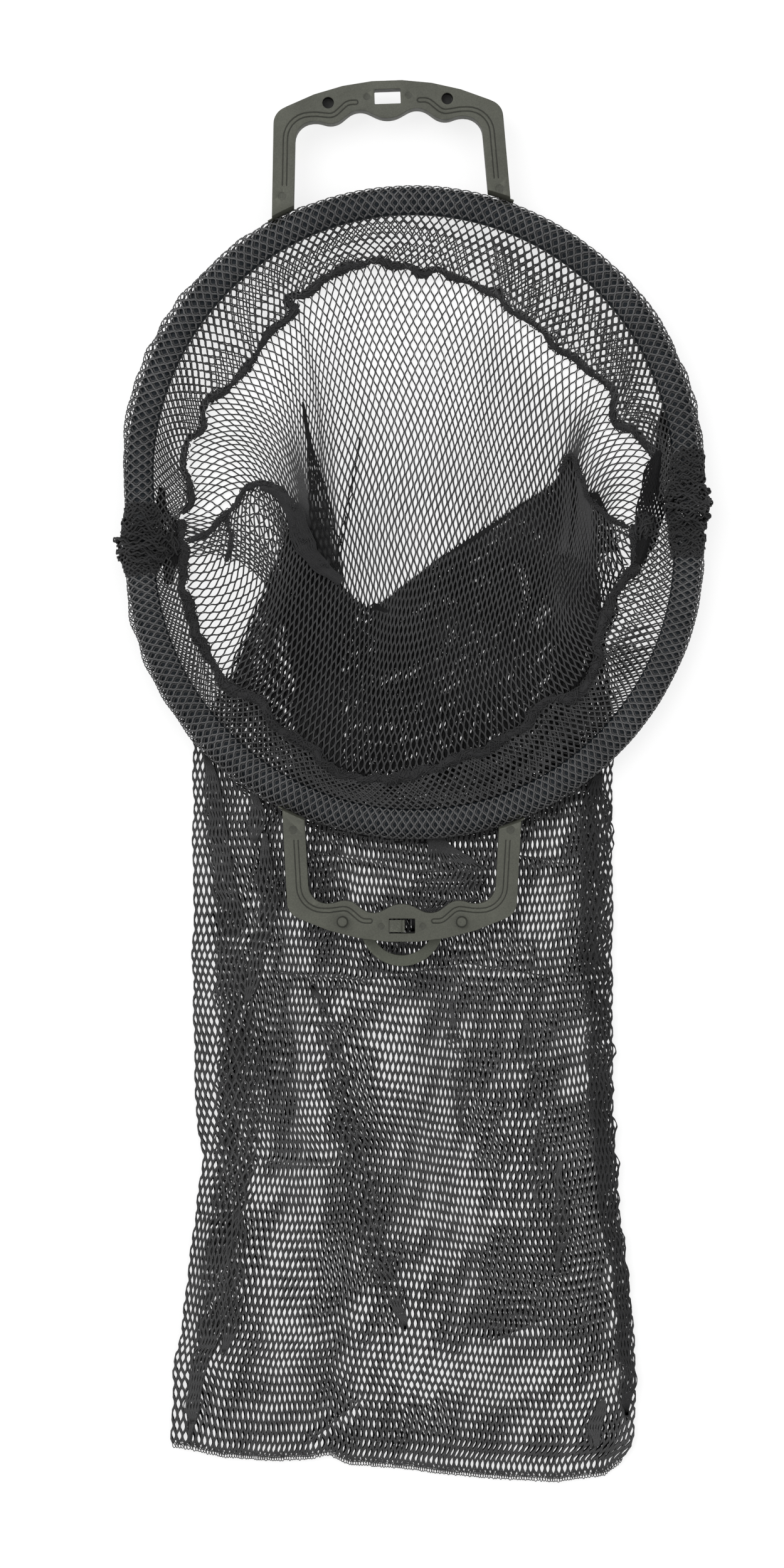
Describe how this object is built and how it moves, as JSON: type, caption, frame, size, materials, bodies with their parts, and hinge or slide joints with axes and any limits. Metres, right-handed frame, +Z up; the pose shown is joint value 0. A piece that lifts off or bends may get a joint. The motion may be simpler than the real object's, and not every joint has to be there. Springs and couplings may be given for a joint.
{
  "type": "folding hoop catch bag",
  "caption": "Mesh crab and shellfish catch bag on a folding wire hoop, with two moulded snap-together grip handles and a hanging loop, laid flat and opened out.",
  "frame": {"origin": "on the floor under the middle of the hoop's hinge line", "axes": "+Z up from the floor; +Y towards the free upper handle; the bag runs towards -Y; +X to the right along the hinge line, seen from above"},
  "size_m": [0.314, 0.7409, 0.0246],
  "materials": {
    "handle_plastic": "fine spark-eroded grain, olive grey",
    "hoop_tube": "smooth foam hose, dark blue-grey",
    "hinge_plastic": "plain moulded, black",
    "steel": "drawn wire and rivets",
    "netting": "knitted polyester mesh, charcoal",
    "seam_netting": "gathered and overlocked mesh, near black"
  },
  "bodies": {
    "lower_frame": {"lower_wire": "steel", "lower_tube": "hoop_tube", "lower_handle": "handle_plastic", "hang_loop": "handle_plastic", "lower_left_lug": "hinge_plastic", "lower_right_lug": "hinge_plastic", "left_hinge_pin": "steel", "right_hinge_pin": "steel", "lower_sleeve": "netting", "lower_web": "netting", "lower_seam": "seam_netting", "left_gather": "seam_netting", "right_gather": "seam_netting", "back_panel": "netting", "front_panel": "netting", "bag_body": "netting"},
    "latch": {"latch_tongue": "handle_plastic"},
    "upper_frame": {"upper_wire": "steel", "upper_tube": "hoop_tube", "upper_handle": "handle_plastic", "upper_left_lug": "hinge_plastic", "upper_right_lug": "hinge_plastic", "upper_sleeve": "netting", "upper_web": "netting", "upper_seam": "seam_netting", "upper_back_panel": "netting"}
  },
  "joints": [
    {"name": "hoop_fold", "type": "hinge", "parent": "lower_frame", "child": "upper_frame", "pos_m": [0, 0, 0.0196], "axis": [0.9998, 0.0175, 0], "range_deg": [0, 180]},
    {"name": "latch_flex", "type": "hinge", "parent": "lower_frame", "child": "latch", "pos_m": [-0.0068, -0.2194, 0.0169], "axis": [0, 1, 0], "range_deg": [0, 10], "stiffness_Nm_per_rad": 0.02}
  ]
}
